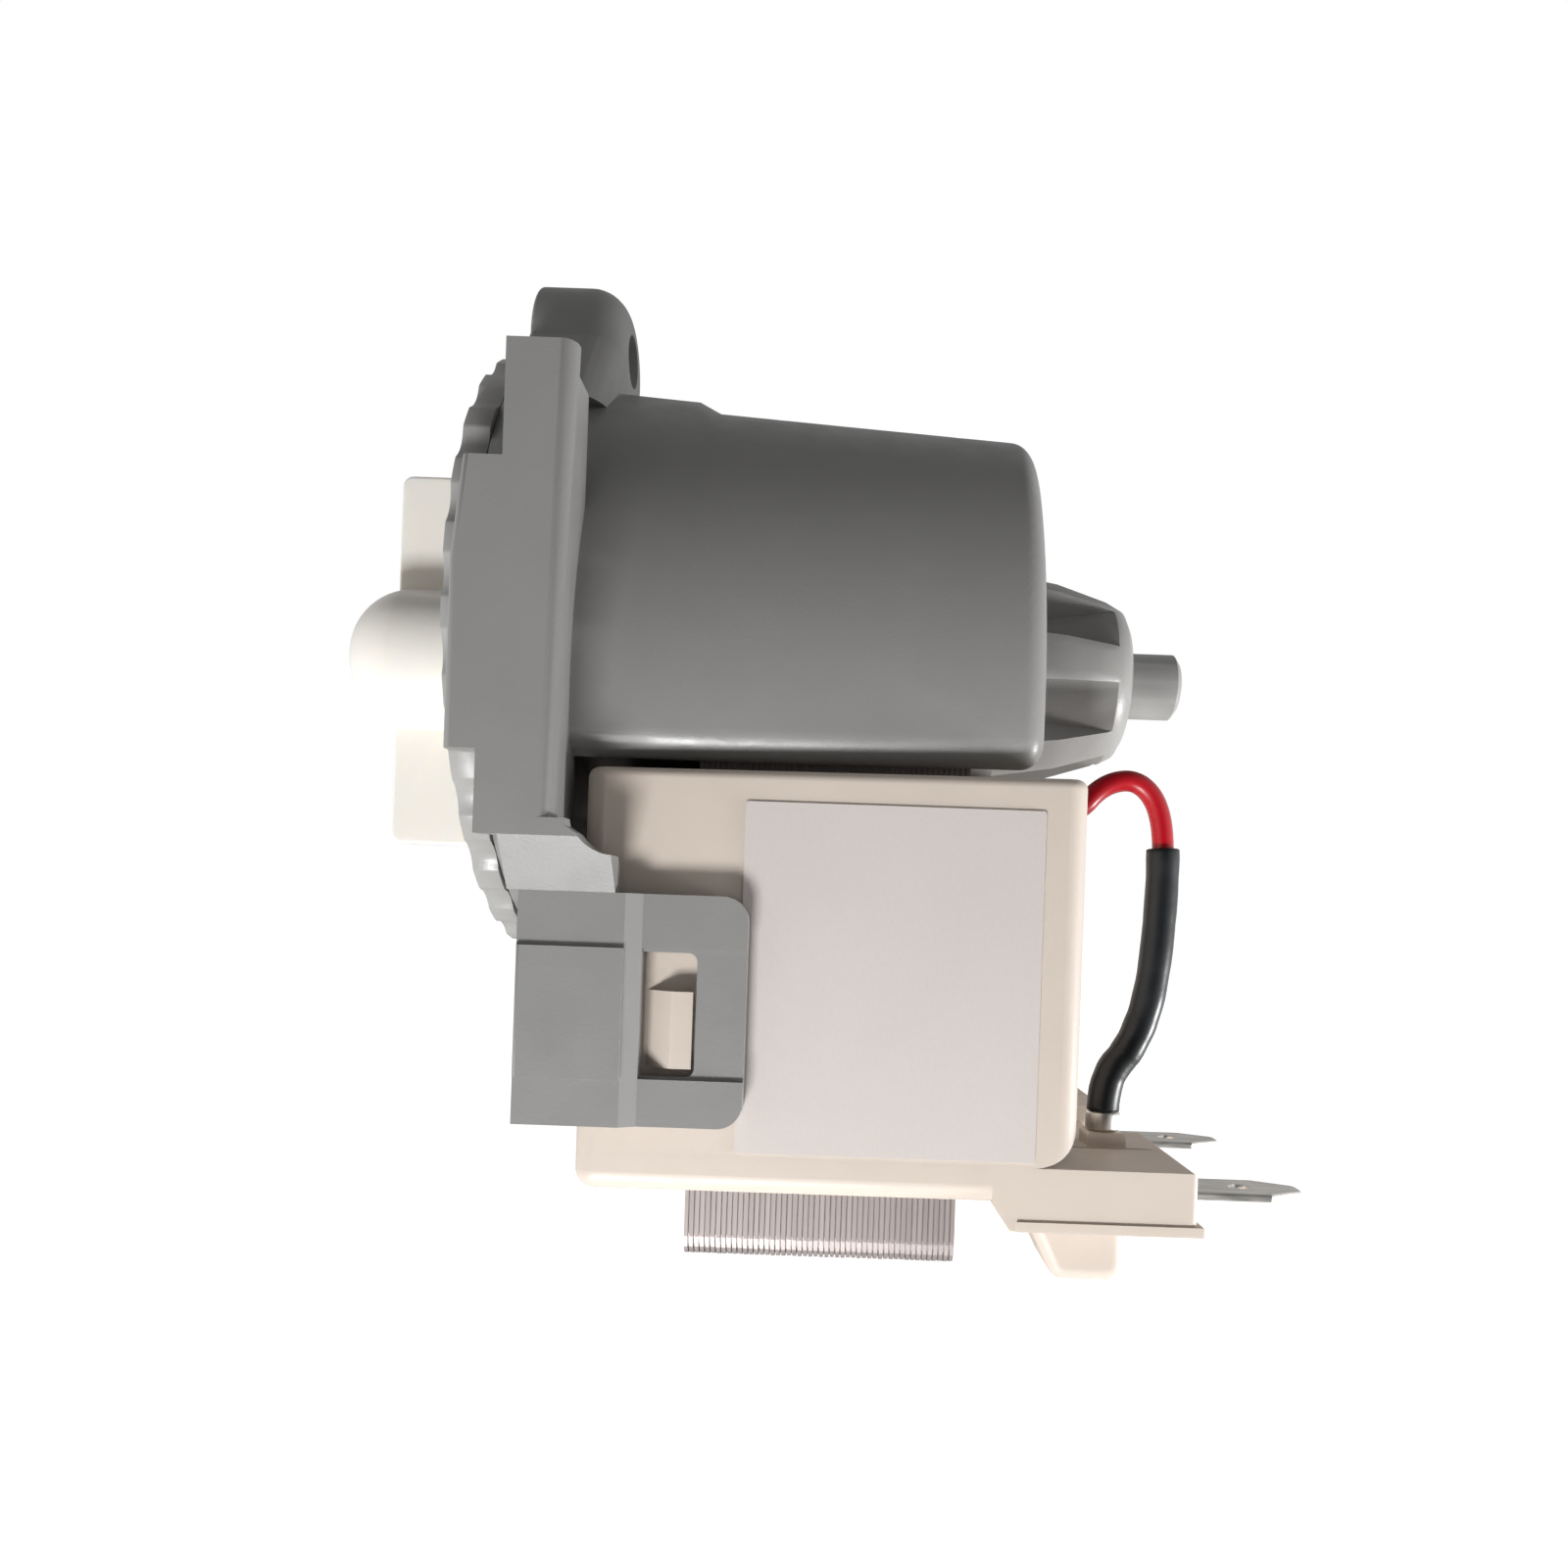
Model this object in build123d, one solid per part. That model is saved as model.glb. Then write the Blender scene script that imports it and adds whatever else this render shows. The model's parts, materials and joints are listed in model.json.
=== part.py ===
from build123d import *
import math
import os

# Dishwasher drain pump: a two-pole synchronous motor with a U-shaped stator core on
# a flanged housing, a wet rotor in its own chamber and a two-vane impeller in front.
# Millimetres. X runs along the rotor axis from the impeller to the terminals,
# -Y is the side with the blank label, +Z is towards the screw ear. The origin is
# on the rotor axis, in the plane of the flange's front face.

# Front plate with its scalloped rim
PLATE_RADIUS = 31.0
PLATE_THICK = 2.4
SCALLOPS = 30
SCALLOP_RADIUS = 3.8
SCALLOP_DEPTH = 0.55
SCALLOP_RIDGE_ROUND = 1.0
SCALLOP_PHASE_DEG = 8.0
SPIGOT_RADIUS = 12.4
SPIGOT_INNER_RADIUS = 9.4
SPIGOT_END = 8.6
SEAT_RADIUS = 5.6
SEAT_WALL = 1.5
SEAL_RING_INNER = 24.8
SEAL_RING_OUTER = 27.2
SEAL_RING_DEPTH = 0.8
SEAL_RING_PROUD = 0.4
CHAMBER_SEAL_X = 5.7
CHAMBER_SEAL_MIDDLE = 11.67
CHAMBER_SEAL_CORD = 0.91
GROOVE_HALF_WIDTH = 1.0
GROOVE_FLOOR = 10.75
DISH_INNER = 9.0
DISH_OUTER = 23.4
DISH_DEPTH = 0.7

# Motor housing
FLANGE_FRONT = 2.5
FLANGE_BACK = 5.4
FLANGE_RADIUS = 30.5
FRAME_BACK = 7.4
FRAME_HALF_WIDTH = 33.0
FRAME_TOP = 20.3
FRAME_BOTTOM = -20.8
CHEEK_THICK = 1.7
CHEEK_BACK_HIGH = 11.2
CHEEK_BACK_LOW = 10.5
CHEEK_BACK_ROUND = 1.3
CHEEK_FRONT_ROUND = 0.6
FILL_BACK = 9.9
FILL_INNER_Y = 22.5
UPPER_POCKET_Y = (-30.9, -29.5)
UPPER_POCKET_Z = (6.3, 13.7)
UPPER_POCKET_DEPTH = 2.5
LOWER_POCKET_Y = (-30.9, -30.2)
LOWER_POCKET_Z = (-7.4, -4.1)
LOWER_POCKET_DEPTH = 2.0
HOOD_SIDE_RADIUS = 40.0
HOOD_WIDEST_Z = -6.5
COLLAR_FRONT_HALF_WIDTH = 26.2
COLLAR_BACK_HALF_WIDTH = 25.7
COLLAR_FRONT_TOP = 29.9
COLLAR_BACK_TOP = 28.45
COLLAR_END = 18.0
HOOD_FRONT = 20.4
HOOD_BACK = 52.8
HOOD_FRONT_HALF_WIDTH = 25.6
HOOD_BACK_HALF_WIDTH = 24.4
HOOD_FRONT_TOP = 26.95
HOOD_BACK_TOP = 24.8
HOOD_FRONT_BOTTOM = -13.0
HOOD_BACK_BOTTOM = -12.7
HOOD_WALL = 2.0
HOOD_BACK_ROUND = 2.2
HOOD_LOW_CORNER = 3.0

# Screw ear
EAR_BACK = 9.4
EAR_RADIUS = 7.9
EAR_TOP = 41.3
EAR_HOLE_Z = 34.3
EAR_HOLE_RADIUS = 2.75
EAR_FOOT_HALF_WIDTH = 15.0
EAR_FOOT_Z = 24.0
EAR_FRONT_EDGE = 0.4
EAR_BACK_EDGE = 3.8

# Snap arms that hold the coil block
ARM_FRONT = 7.0
ARM_BACK = 26.7
ARM_TOP = -25.3
ARM_BOTTOM = -45.4
ARM_INNER_Y = 27.0
ARM_OUTER_Y = 28.8
ARM_ROOT_Y = 29.6
ARM_ROOT_END = 16.2
ARM_BLADE_START = 17.6
ARM_BAND_TOP = -30.0
ARM_BAND_BOTTOM = -41.3
ARM_BAND_STEP = 0.35
ARM_CORNER = 2.2
WINDOW_BACK = 22.4
WINDOW_TOP = -30.3
WINDOW_BOTTOM = -41.1
WINDOW_CORNER = 0.8
CROSS_WEB_THICK = 1.8
CROSS_WEB_TOP = -18.0
CROSS_OPENING_HALF_WIDTH = 17.0
CROSS_OPENING_TOP = -24.0
CROSS_OPENING_BOTTOM = -41.4
CROSS_OPENING_CORNER = 3.0
BRACKET_BACK = 15.3

# Rotor chamber
CHAMBER_RADIUS = 13.6
CHAMBER_WALL = 1.0
CHAMBER_FLANGE_RADIUS = 24.0
CHAMBER_FLANGE_BACK = 4.0
CHAMBER_END = 50.0
CUP_FLOOR = 56.8
REAR_POCKETS = 6
REAR_POCKET_FRONT_FLOOR = 6.6
REAR_POCKET_BACK_FLOOR = 8.8
REAR_POCKET_END = 63.0
REAR_POCKET_OPENING_DEG = 35.0
REAR_POCKET_PHASE_DEG = 33.5
REAR_FACE = 64.9
CHAMBER_CLEARANCE = 0.2
STUB_RADIUS = 3.6
STUB_END = 71.1

# Bearings and shaft
SHAFT_RADIUS = 2.0
SHAFT_FRONT = -15.6
SHAFT_BACK = 56.4
BUSH_CLEARANCE = 0.03
BUSH_RADIUS = 4.3
FRONT_BUSH_START = 3.2
FRONT_BUSH_END = 8.4
REAR_BUSH_START = 50.8
REAR_BUSH_END = 56.6
WASHER_THICK = 0.4
WASHER_GAP = 0.1

# Rotor
MAGNET_RADIUS = 12.0
MAGNET_BORE = 7.0
MAGNET_START = 20.4
MAGNET_END = 46.9
CARRIER_CAP = 1.2
CARRIER_CAP_RADIUS = 11.7
CARRIER_BOSS_RADIUS = 4.0

# Impeller and its free-play coupling
IMPELLER_RADIUS = 20.4
VANE_FRONT = -15.5
VANE_BACK = -1.4
VANE_THICK = 2.2
HUB_RADIUS = 7.8
HUB_BACK = -1.0
NOSE_TIP = -20.2
NOSE_MIDDLE = (-18.2, 5.7)
NOSE_END = -13.9
CAVITY_RADIUS = 6.2
CAVITY_FRONT = -13.4
CAP_THICK = 2.4
DOG_RADIUS = 5.9
DOG_HUB_RADIUS = 3.4
DOG_HALF_ANGLE = 22.0
DAMPER_ANGLE = 12.0
DRIVER_END_GAP = 0.3

# Stator core: 50 sheets of 0.5 mm
CORE_START = 21.0
CORE_END = 46.5
CORE_HALF_WIDTH = 20.4
LEG_INNER_Y = 9.4
POLE_RADIUS = 14.0
POLE_TOP = 14.5
POLE_SHOULDER_Z = 0.0
YOKE_TOP = -46.4
YOKE_BOTTOM = -59.2
YOKE_CORNER = 2.0

# Bobbins and windings
BOBBIN_GAP = 0.1
BOBBIN_WALL = 1.0
BOBBIN_TOP = -15.6
WINDING_THICK = 3.8
WINDING_CORNER = 3.4
LEG_HOLE_GAP = 0.25

# Coil cover and coil base
COVER_FRONT = 11.7
COVER_BACK = 56.4
COVER_HALF_WIDTH = 26.7
COVER_FRONT_TOP = -14.1
COVER_BACK_TOP = -13.75
COVER_SEAM = -48.3
COVER_WALL = 1.2
COVER_TOP_WALL = 1.4
COVER_BACK_WALL = 2.0
COVER_CORNER = 4.0
COVER_EDGE = 1.8
COVER_TOP_EDGE = 0.9
LEAD_HOLE_GAP = 0.1
NUB_FRONT = 17.9
NUB_CREST = 20.2
NUB_BACK = 22.1
NUB_TOP = -33.7
NUB_BOTTOM = -40.4
NUB_HEIGHT = 1.5
BASE_BOTTOM = -51.6
BASE_CORNER = 1.7
BLOCK_START = 50.5
BLOCK_SLOPE_START = 48.9
BLOCK_END = 67.1
BLOCK_TOP = COVER_SEAM
BLOCK_BOTTOM = -53.9
BLOCK_EDGE = 0.6
BLOCK_INNER_Y = 8.0
LIP_TOP = -53.0
LIP_PROUD = 0.2
FOOT_START = 52.6
FOOT_SLOPE = 2.6
FOOT_END = 61.6
FOOT_BOTTOM = -59.2
FOOT_OUTER_Y = 23.5
FOOT_INNER_Y = 14.0
FOOT_CORNER = 1.6
FOOT_EDGE = 1.2
CORE_GAP = 0.3
PLINTH_START = 13.4
PLINTH_END = 49.6
BRIDGE_TOP = -50.2
BRIDGE_END = 64.0

# Blank label
LABEL_FRONT = 26.0
LABEL_BACK = 52.5
LABEL_TOP = -16.8
LABEL_BOTTOM = -47.8
LABEL_THICK = 0.15
LABEL_CORNER = 0.3

# Spade terminals, 6.3 mm series
TAB_WIDTH = 6.3
TAB_THICK = 0.8
TAB_Y = 12.5
TAB_Z = -52.9
TAB_START = 57.0
TAB_TIP = 81.7
TAB_HOLE_RADIUS = 0.85
TAB_HOLE_FROM_TIP = 6.0
TAB_TAPER = 3.8
TAB_TIP_NARROWING = 2.1

# Thermal protector and its lead
PROTECTOR_START = 36.0
PROTECTOR_END = 50.0
PROTECTOR_HALF_WIDTH = 2.8
PROTECTOR_TOP = -17.2
PROTECTOR_BOTTOM = -21.6
LEAD_RADIUS = 1.05
SLEEVE_RADIUS = 1.6
SLEEVE_BORE = 1.1
LEAD_Y = -14.0
CRIMP_RADIUS = 1.7
CRIMP_TOP = -45.0
CRIMP_X = 61.4
PEDESTAL_TOP = -47.0
PEDESTAL_HALF = 1.9
PEDESTAL_EDGE = 0.5
LEAD_EXIT_Z = -16.0
LEAD_ROUTE = [
    (54.8, LEAD_EXIT_Z),
    (57.6, LEAD_EXIT_Z),
    (60.2, -12.7),
    (63.8, -12.0),
    (66.3, -15.2),
    (66.6, -22.4),
    (65.9, -33.0),
    (64.1, -38.6),
    (CRIMP_X, -41.8),
    (CRIMP_X, CRIMP_TOP),
]
SLEEVE_FIRST_RUN = 4


def on_side(x, drawing):
    """Stand a drawing of (y, z) points in the plane at x."""
    return Plane.YZ.offset(x) * drawing


def rod(radius, start, end):
    return extrude(on_side(start, Circle(radius)), amount=end - start)


def tube(outer, inner, start, end):
    return rod(outer, start, end) - rod(inner, start - 1, end + 1)


def block(x0, x1, y0, y1, z0, z1):
    centre = ((x0 + x1) / 2, (y0 + y1) / 2, (z0 + z1) / 2)
    return Pos(*centre) * Box(x1 - x0, y1 - y0, z1 - z0)


def polygon(points):
    return make_face(Polyline(*points, close=True))


def turned(points):
    """Turn a profile of (x, radius) points about the rotor axis."""
    return revolve(Plane.XZ * polygon(points), axis=Axis.X)


def prism_y(points, y0, y1):
    """Push a profile of (x, z) points from y0 to y1."""
    return extrude(Plane.XZ.offset(-y0) * polygon(points), amount=-(y1 - y0))


def prism_z(points, z0, z1):
    """Push a profile of (x, y) points from z0 to z1."""
    return extrude(Plane.XY.offset(z0) * polygon(points), amount=z1 - z0)


def far_side(part):
    return mirror(part, about=Plane.XZ)


def both_sides(part):
    return part + far_side(part)


def sector(inner, outer, centre_deg, half_deg, start, end):
    """A ring sector about the rotor axis; zero degrees is +Z, growing towards +Y."""
    low = math.radians(centre_deg - half_deg)
    middle = math.radians(centre_deg)
    high = math.radians(centre_deg + half_deg)

    def at(radius, angle):
        return radius * math.sin(angle), radius * math.cos(angle)

    outline = [
        Line(at(inner, low), at(outer, low)),
        ThreePointArc(at(outer, low), at(outer, middle), at(outer, high)),
        Line(at(outer, high), at(inner, high)),
        ThreePointArc(at(inner, high), at(inner, middle), at(inner, low)),
    ]
    return extrude(on_side(start, make_face(outline)), amount=end - start)


def hood_half_width(x):
    share = (x - HOOD_FRONT) / (HOOD_BACK - HOOD_FRONT)
    return HOOD_FRONT_HALF_WIDTH + share * (HOOD_BACK_HALF_WIDTH - HOOD_FRONT_HALF_WIDTH)


def hood_top(x):
    share = (x - HOOD_FRONT) / (HOOD_BACK - HOOD_FRONT)
    return HOOD_FRONT_TOP + share * (HOOD_BACK_TOP - HOOD_FRONT_TOP)


def side_arc_y(radius, half_width, z):
    """How far out a hood side arc stands at height z, as a positive distance."""
    return math.sqrt(radius**2 - (z - HOOD_WIDEST_Z) ** 2) - (radius - half_width)


def arc_join(radius, half_width, top):
    """Where a hood side arc runs into the smaller top arc, on the +Y side."""
    offset = radius - half_width
    height = top - HOOD_WIDEST_Z
    top_radius = (radius**2 - offset**2 - height**2) / (2 * (radius - height))
    share = radius / (radius - top_radius)
    return share * offset - offset, HOOD_WIDEST_Z + share * (height - top_radius)


def side_and_top(radius, half_width, top, foot_y, foot_z):
    """Both side arcs and the top arc, from one foot to the other."""
    join_y, join_z = arc_join(radius, half_width, top)
    return [
        ThreePointArc((foot_y, foot_z), (half_width, HOOD_WIDEST_Z), (join_y, join_z)),
        ThreePointArc((join_y, join_z), (0, top), (-join_y, join_z)),
        ThreePointArc((-join_y, join_z), (-half_width, HOOD_WIDEST_Z), (-foot_y, foot_z)),
    ]


def hood_section(x, half_width, top, bottom):
    """Outer section of the hood: bowed sides, a rounder top and soft lower corners."""
    radius = HOOD_SIDE_RADIUS
    corner = HOOD_LOW_CORNER
    centre_z = bottom + corner
    centre_y = side_arc_y(radius - corner, half_width - corner, centre_z)
    reach = radius / (radius - corner)
    foot_y = (centre_y + radius - half_width) * reach - (radius - half_width)
    foot_z = HOOD_WIDEST_Z + (centre_z - HOOD_WIDEST_Z) * reach
    bend = Vector(foot_y - centre_y, foot_z - centre_z).normalized() + Vector(0, -1)
    bend = bend.normalized() * corner
    middle = (centre_y + bend.X, centre_z + bend.Y)
    outline = side_and_top(radius, half_width, top, foot_y, foot_z)
    outline += [
        ThreePointArc((-foot_y, foot_z), (-middle[0], middle[1]), (-centre_y, bottom)),
        Line((-centre_y, bottom), (centre_y, bottom)),
        ThreePointArc((centre_y, bottom), middle, (foot_y, foot_z)),
    ]
    return on_side(x, make_face(outline))


def space_section(x, half_width, top, bottom):
    """Section of the room under the hood, with sharp lower corners."""
    radius = HOOD_SIDE_RADIUS - HOOD_WALL
    foot_y = side_arc_y(radius, half_width, bottom)
    outline = side_and_top(radius, half_width, top, foot_y, bottom)
    outline.append(Line((-foot_y, bottom), (foot_y, bottom)))
    return on_side(x, make_face(outline))


def scalloped_disc():
    disc = rod(PLATE_RADIUS, 0, PLATE_THICK)
    scoop = rod(SCALLOP_RADIUS, -1, PLATE_THICK + 1)
    reach = PLATE_RADIUS - SCALLOP_DEPTH + SCALLOP_RADIUS
    for index in range(SCALLOPS):
        angle = math.radians(SCALLOP_PHASE_DEG + index * 360 / SCALLOPS)
        disc -= Pos(0, -reach * math.sin(angle), -reach * math.cos(angle)) * scoop
    ridges = disc.edges().filter_by(Axis.X)
    return fillet(ridges, SCALLOP_RIDGE_ROUND)


def front_plate():
    plate = scalloped_disc()
    plate += rod(SPIGOT_RADIUS, PLATE_THICK, PLATE_THICK + 1.6)
    plate += tube(SPIGOT_RADIUS, SPIGOT_INNER_RADIUS, PLATE_THICK, SPIGOT_END)
    plate += rod(SEAT_RADIUS + SEAT_WALL, PLATE_THICK, SPIGOT_END)
    plate -= rod(SEAT_RADIUS, -1, SPIGOT_END + 1)
    groove_start = CHAMBER_SEAL_X - GROOVE_HALF_WIDTH
    groove_end = CHAMBER_SEAL_X + GROOVE_HALF_WIDTH
    plate -= tube(SPIGOT_RADIUS + 1, GROOVE_FLOOR, groove_start, groove_end)
    plate -= tube(SEAL_RING_OUTER, SEAL_RING_INNER, -1, SEAL_RING_DEPTH)
    plate -= tube(DISH_OUTER, DISH_INNER, -1, DISH_DEPTH)
    return plate


def sealing_ring():
    return tube(SEAL_RING_OUTER, SEAL_RING_INNER, -SEAL_RING_PROUD, SEAL_RING_DEPTH)


def chamber_seal():
    """Round rubber ring between the plate's spigot and the chamber's mouth."""
    section = Plane.XZ * Pos(CHAMBER_SEAL_X, CHAMBER_SEAL_MIDDLE) * Circle(CHAMBER_SEAL_CORD)
    return revolve(section, axis=Axis.X)


def flange_and_frame():
    plate = rod(FLANGE_RADIUS, FLANGE_FRONT, FLANGE_BACK)
    frame = block(
        FLANGE_BACK, FRAME_BACK, -FRAME_HALF_WIDTH, FRAME_HALF_WIDTH, FRAME_BOTTOM, FRAME_TOP
    )
    return plate + frame


def cheek():
    """Near side wall; its front edge steps forward over the rim of the front plate."""
    outline = [
        (FLANGE_BACK + 1.6, FRAME_TOP),
        (FLANGE_BACK + 0.3, 15.8),
        (FLANGE_BACK + 0.3, 10.5),
        (2.0, 10.5),
        (1.2, 2.0),
        (1.2, -13.8),
        (4.0, -13.8),
        (4.0, FRAME_BOTTOM),
        (CHEEK_BACK_LOW, FRAME_BOTTOM),
        (CHEEK_BACK_HIGH, FRAME_TOP),
    ]
    outer = -FRAME_HALF_WIDTH
    wall = prism_y(outline, outer, outer + CHEEK_THICK)
    back_edge = wall.faces().sort_by(Axis.Y)[0].edges().sort_by(Axis.X)[-1]
    wall = fillet(back_edge, CHEEK_BACK_ROUND)
    front_edges = wall.faces().sort_by(Axis.Y)[0].edges().sort_by(Axis.X)[:2]
    return fillet(front_edges, CHEEK_FRONT_ROUND)


def frame_fill():
    """Near thickening of the frame between cheek and hood, with two moulded pockets."""
    outer = -FRAME_HALF_WIDTH + CHEEK_THICK - 0.5
    fill = block(FRAME_BACK - 1, FILL_BACK, outer, -FILL_INNER_Y, FRAME_BOTTOM, FRAME_TOP)
    upper_floor = FILL_BACK - UPPER_POCKET_DEPTH
    lower_floor = FILL_BACK - LOWER_POCKET_DEPTH
    fill -= block(upper_floor, FILL_BACK + 1, *UPPER_POCKET_Y, *UPPER_POCKET_Z)
    fill -= block(lower_floor, FILL_BACK + 1, *LOWER_POCKET_Y, *LOWER_POCKET_Z)
    return fill


def arm():
    """Near snap arm: a thick root, a thinner blade with the catch window, stepped bands."""
    profile = [
        (ARM_FRONT, -ARM_INNER_Y),
        (ARM_BACK, -ARM_INNER_Y),
        (ARM_BACK, -ARM_OUTER_Y),
        (ARM_BLADE_START, -ARM_OUTER_Y),
        (ARM_ROOT_END, -ARM_ROOT_Y),
        (ARM_FRONT, -ARM_ROOT_Y),
    ]
    blade = prism_z(profile, ARM_BOTTOM, ARM_TOP)
    corners = blade.edges().filter_by(Axis.Y).group_by(Axis.X)[-1]
    blade = fillet(corners, ARM_CORNER)
    blade += block(
        ARM_FRONT, ARM_ROOT_END, -ARM_ROOT_Y - ARM_BAND_STEP, -ARM_ROOT_Y, ARM_BAND_BOTTOM, ARM_BAND_TOP
    )
    blade -= block(
        ARM_BLADE_START,
        ARM_BACK + 1,
        -ARM_OUTER_Y - 1,
        -ARM_OUTER_Y + ARM_BAND_STEP,
        ARM_BAND_BOTTOM,
        ARM_BAND_TOP,
    )
    window = block(ARM_BLADE_START, WINDOW_BACK, -31, -26, WINDOW_BOTTOM, WINDOW_TOP)
    window = fillet(window.edges().filter_by(Axis.Y).group_by(Axis.X)[-1], WINDOW_CORNER)
    blade -= window
    front_edges = blade.faces().filter_by(Axis.X).sort_by(Axis.X)[0].edges().filter_by(Axis.Z)
    return fillet(front_edges.sort_by(Axis.Y)[0], 0.3)


def bracket():
    """Inclined web from the foot of the cheek in to the top of the arm."""
    slope = [
        (-FRAME_HALF_WIDTH, FRAME_BOTTOM),
        (-ARM_ROOT_Y, ARM_TOP),
        (-ARM_INNER_Y, ARM_TOP),
        (-ARM_INNER_Y - 1.4, -22.6),
        (-FRAME_HALF_WIDTH + CHEEK_THICK, FRAME_BOTTOM + 1.5),
        (-FRAME_HALF_WIDTH, FRAME_BOTTOM + 1.5),
    ]
    front = ARM_FRONT - 1.0
    web = extrude(on_side(front, polygon(slope)), amount=BRACKET_BACK - front)
    swept_corner = make_face(
        [
            Line((11.6, -19.0), (16.0, -19.0)),
            Line((16.0, -19.0), (16.0, -22.2)),
            Line((16.0, -22.2), (BRACKET_BACK, -22.2)),
            ThreePointArc((BRACKET_BACK, -22.2), (13.5, -21.6), (12.5, -20.5)),
            Line((12.5, -20.5), (11.6, -19.9)),
            Line((11.6, -19.9), (11.6, -19.0)),
        ]
    )
    return web - extrude(Plane.XZ.offset(25) * swept_corner, amount=12)


def cross_web():
    """Front wall between the two arms, open in the middle."""
    back = ARM_FRONT + CROSS_WEB_THICK
    reach = ARM_INNER_Y + 0.8
    web = block(ARM_FRONT, back, -reach, reach, ARM_BOTTOM, CROSS_WEB_TOP)
    opening = block(
        0,
        back + 1,
        -CROSS_OPENING_HALF_WIDTH,
        CROSS_OPENING_HALF_WIDTH,
        CROSS_OPENING_BOTTOM,
        CROSS_OPENING_TOP,
    )
    opening = fillet(opening.edges().filter_by(Axis.X), CROSS_OPENING_CORNER)
    return web - opening


def ear():
    centre_z = EAR_TOP - EAR_RADIUS
    outline = [
        Line((-EAR_FOOT_HALF_WIDTH, EAR_FOOT_Z), (-EAR_RADIUS, centre_z)),
        ThreePointArc((-EAR_RADIUS, centre_z), (0, EAR_TOP), (EAR_RADIUS, centre_z)),
        Line((EAR_RADIUS, centre_z), (EAR_FOOT_HALF_WIDTH, EAR_FOOT_Z)),
        Line((EAR_FOOT_HALF_WIDTH, EAR_FOOT_Z), (-EAR_FOOT_HALF_WIDTH, EAR_FOOT_Z)),
    ]
    lug = extrude(on_side(0, make_face(outline)), amount=EAR_BACK)
    rim = lug.edges().filter_by(lambda edge: edge.center().Z > EAR_FOOT_Z + 1)
    front_rim = rim.filter_by(lambda edge: edge.center().X < 0.1)
    lug = fillet(front_rim, EAR_FRONT_EDGE)
    rim = lug.edges().filter_by(lambda edge: edge.center().Z > EAR_FOOT_Z + 1)
    back_rim = rim.filter_by(lambda edge: edge.center().X > EAR_BACK - 0.1)
    lug = fillet(back_rim, EAR_BACK_EDGE)
    lug -= rod(PLATE_RADIUS + 0.4, -1, FLANGE_FRONT)
    hole = Pos(0, 0, EAR_HOLE_Z) * rod(EAR_HOLE_RADIUS, -1, EAR_BACK + 1)
    return lug - hole


def hood():
    """Collar, gentle step and tapered cover over the poles and the rotor chamber."""
    sections = [
        hood_section(FLANGE_BACK, COLLAR_FRONT_HALF_WIDTH, COLLAR_FRONT_TOP, HOOD_FRONT_BOTTOM),
        hood_section(COLLAR_END, COLLAR_BACK_HALF_WIDTH, COLLAR_BACK_TOP, HOOD_FRONT_BOTTOM),
        hood_section(HOOD_FRONT, HOOD_FRONT_HALF_WIDTH, HOOD_FRONT_TOP, HOOD_FRONT_BOTTOM),
        hood_section(HOOD_BACK, HOOD_BACK_HALF_WIDTH, HOOD_BACK_TOP, HOOD_BACK_BOTTOM),
    ]
    body = loft(sections, ruled=True)
    back_rim = body.faces().sort_by(Axis.X)[-1].edges()
    return fillet(back_rim, HOOD_BACK_ROUND)


def hood_room():
    """The room under the hood, open downwards and to the rear."""
    sections = [
        space_section(
            x,
            hood_half_width(x) - HOOD_WALL,
            hood_top(x) - HOOD_WALL,
            HOOD_FRONT_BOTTOM - HOOD_WALL,
        )
        for x in (FRAME_BACK, HOOD_BACK + 1)
    ]
    return loft(sections)


def motor_housing():
    shell = flange_and_frame()
    shell += ear()
    shell += hood()
    shell += both_sides(frame_fill())
    shell += both_sides(cheek())
    shell -= hood_room()
    shell += both_sides(arm() + bracket())
    shell += cross_web()
    shell -= rod(CHAMBER_FLANGE_RADIUS + 0.1, FLANGE_FRONT - 1, CHAMBER_FLANGE_BACK)
    shell -= rod(CHAMBER_RADIUS + CHAMBER_CLEARANCE, 0, FRAME_BACK + 1)
    return shell


def rotor_chamber():
    flange_top = CHAMBER_FLANGE_RADIUS
    inner = CHAMBER_RADIUS - CHAMBER_WALL
    shell = turned(
        [
            (PLATE_THICK, inner),
            (PLATE_THICK, flange_top),
            (CHAMBER_FLANGE_BACK, flange_top),
            (CHAMBER_FLANGE_BACK, CHAMBER_RADIUS),
            (CHAMBER_END, CHAMBER_RADIUS),
            (CHAMBER_END, 11.9),
            (57.0, 10.7),
            (62.4, 9.0),
            (64.1, 8.1),
            (64.7, 7.0),
            (REAR_FACE, 5.8),
            (REAR_FACE, STUB_RADIUS),
            (STUB_END - 0.6, STUB_RADIUS),
            (STUB_END, STUB_RADIUS - 0.8),
            (STUB_END, 0),
            (CUP_FLOOR, 0),
            (CUP_FLOOR, SEAT_RADIUS),
            (CHAMBER_END - 1.2, SEAT_RADIUS),
            (CHAMBER_END - 1.2, inner),
        ]
    )
    pocket_profile = polygon(
        [
            (CHAMBER_END, REAR_POCKET_FRONT_FLOOR),
            (REAR_POCKET_END, REAR_POCKET_BACK_FLOOR),
            (REAR_POCKET_END, CHAMBER_RADIUS + 2),
            (CHAMBER_END, CHAMBER_RADIUS + 2),
        ]
    )
    pocket = revolve(
        Plane.XZ * pocket_profile, axis=Axis.X, revolution_arc=REAR_POCKET_OPENING_DEG
    )
    first = 90 - REAR_POCKET_PHASE_DEG - REAR_POCKET_OPENING_DEG / 2
    for index in range(REAR_POCKETS):
        shell -= Rot(first + index * 360 / REAR_POCKETS, 0, 0) * pocket
    return shell


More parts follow.
